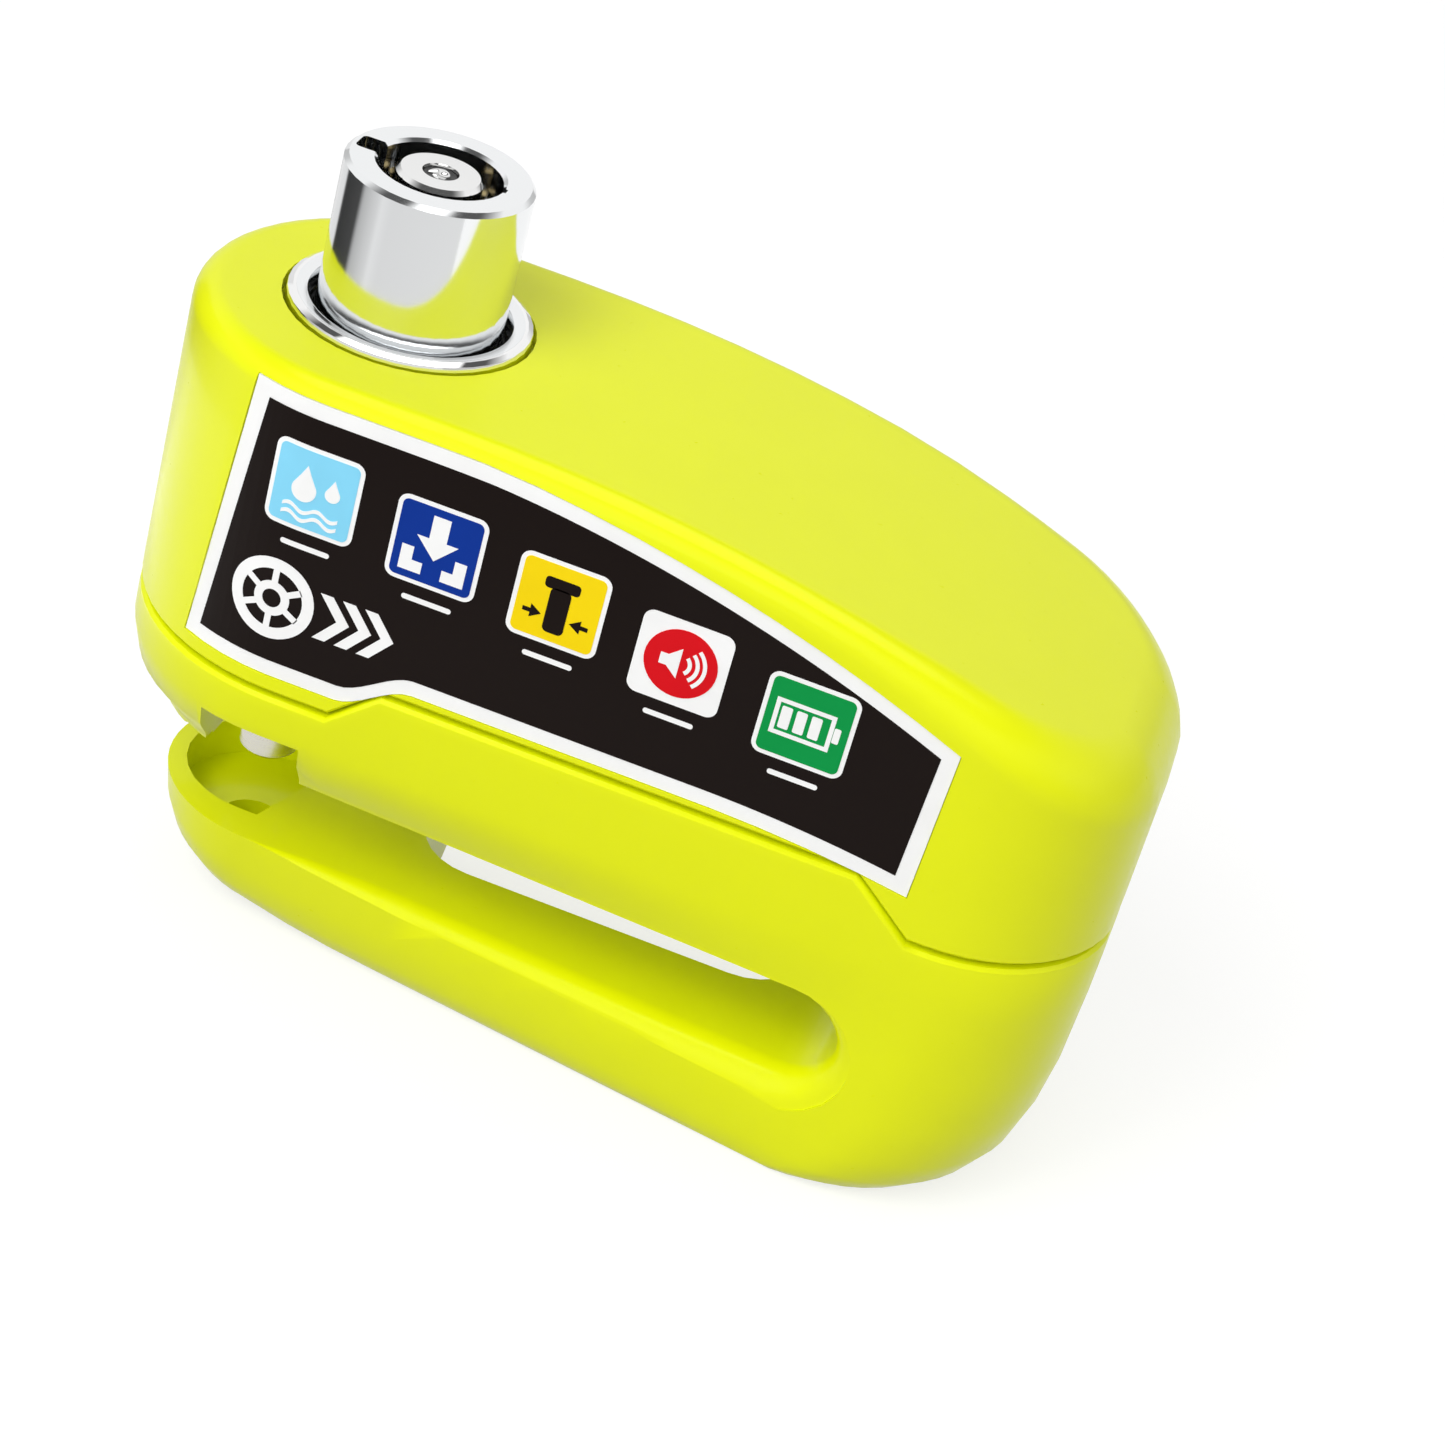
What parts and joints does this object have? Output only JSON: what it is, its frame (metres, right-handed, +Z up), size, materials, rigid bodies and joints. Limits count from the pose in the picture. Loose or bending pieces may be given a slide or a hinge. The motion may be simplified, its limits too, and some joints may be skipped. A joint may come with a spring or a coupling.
{
  "type": "disc brake lock",
  "caption": "Alarm disc brake lock: rounded two-part cast housing with a disc slot, a push-down chrome key cylinder and a steel pin that crosses the slot.",
  "frame": {"origin": "centre of the bounding box at the underside of the lower jaw", "axes": "+X from the pin end to the closed end of the slot, +Y from the label to the back, +Z up along the cylinder"},
  "size_m": [0.096, 0.038, 0.076],
  "materials": {
    "lime_paint": "gloss",
    "chrome": "polished",
    "steel": "satin",
    "brass": "satin",
    "label_print": "satin",
    "rubber": "matte",
    "board_green": "satin",
    "black_plastic": "satin"
  },
  "bodies": {
    "housing": {"alarm_chip": "black_plastic", "battery_tray": "black_plastic", "button_cell_a1": "steel", "button_cell_a2": "steel", "button_cell_a3": "steel", "button_cell_b1": "steel", "button_cell_b2": "steel", "button_cell_b3": "steel", "circuit_board": "board_green", "collar_ring": "chrome", "cover_screw_1": "steel", "cover_screw_2": "steel", "cover_screw_3": "steel", "cover_seal": "rubber", "cylinder_sleeve": "steel", "front_label": "label_print", "lower_body": "lime_paint", "piezo_sounder": "black_plastic", "pin_guide_bush": "brass", "reed_switch": "black_plastic", "return_spring": "steel", "top_cover": "lime_paint", "vibration_sensor": "brass"},
    "push_cylinder": {"lock_cylinder": "chrome", "lock_pin": "steel", "switch_magnet": "steel"},
    "core": {"key_core": "steel"},
    "tumblers": {"tumbler_pin_1": "brass", "tumbler_pin_2": "brass", "tumbler_pin_3": "brass", "tumbler_pin_4": "brass", "tumbler_pin_5": "brass", "tumbler_pin_6": "brass", "tumbler_pin_7": "brass"},
    "latch": {"latch_bolt": "steel"}
  },
  "joints": [
    {"name": "cylinder_push", "type": "slide", "parent": "housing", "child": "push_cylinder", "axis": [0, 0, -1], "range_m": [0, 0.012], "stiffness_N_per_m": 300, "springref_m": -0.008, "deforming": ["return_spring"]},
    {"name": "core_turn", "type": "hinge", "parent": "push_cylinder", "child": "core", "pos_m": [-0.029, 0, 0.068], "axis": [0, 0, 1], "range_deg": [0, 90]},
    {"name": "latch_draw", "type": "slide", "parent": "push_cylinder", "child": "latch", "axis": [-1, 0, 0], "range_m": [0, 0.0015]},
    {"name": "tumbler_press", "type": "slide", "parent": "core", "child": "tumblers", "axis": [0, 0, -1], "range_m": [0, 0.002], "stiffness_N_per_m": 60, "springref_m": -0.001}
  ],
  "couplings": [
    {"joint": "latch_draw", "follows": "core_turn", "m_per_rad": 0.00095}
  ]
}
